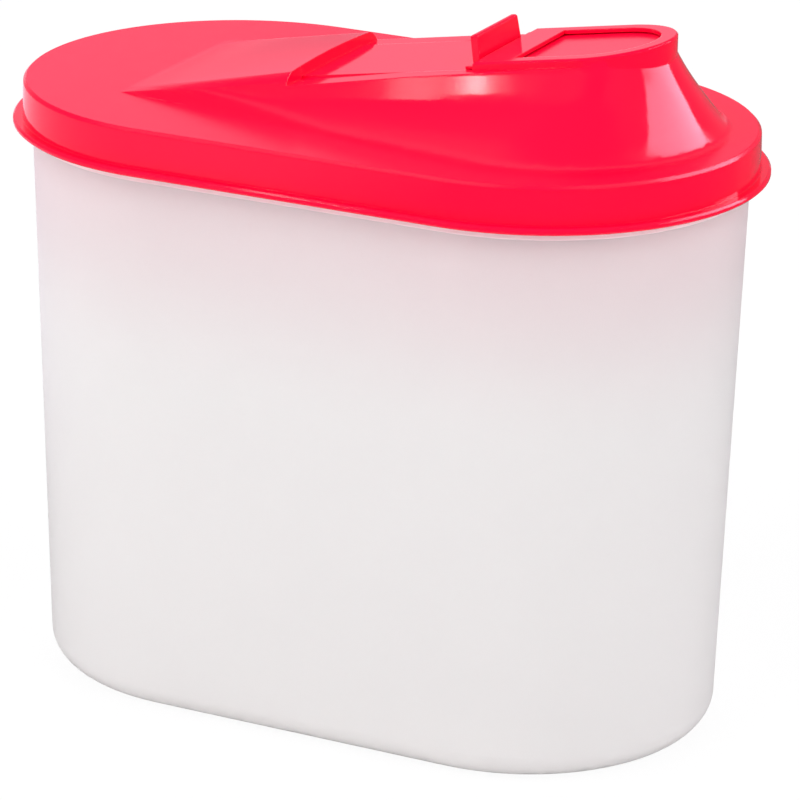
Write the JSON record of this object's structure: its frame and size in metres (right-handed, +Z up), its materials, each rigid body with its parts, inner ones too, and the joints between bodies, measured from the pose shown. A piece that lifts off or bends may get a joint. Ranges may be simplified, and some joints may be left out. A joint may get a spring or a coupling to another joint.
{
  "type": "dry goods canister",
  "caption": "Oval food canister: tapered translucent tub, push-fit lid with a ramp that rises to a pouring spout, and a shutter slid along a sloping track by an upright thumb tab.",
  "frame": {"origin": "middle of the base, on the surface the canister stands on", "axes": "+X along the length towards the pouring spout, +Y across the width, +Z up"},
  "size_m": [0.205, 0.12, 0.1881],
  "materials": {
    "tub_frosted": "frosted translucent polypropylene",
    "lid_red": "gloss red polypropylene",
    "shutter_red": "gloss red polypropylene"
  },
  "bodies": {
    "tub": {"tub": "tub_frosted"},
    "lid": {"lid": "lid_red"},
    "shutter": {"shutter": "shutter_red"}
  },
  "joints": [
    {"name": "lid_lift", "type": "slide", "parent": "tub", "child": "lid", "axis": [0, 0, 1], "range_m": [0, 0.05]},
    {"name": "shutter_slide", "type": "slide", "parent": "lid", "child": "shutter", "axis": [-0.9856, 0, -0.1693], "range_m": [0, 0.034]}
  ]
}
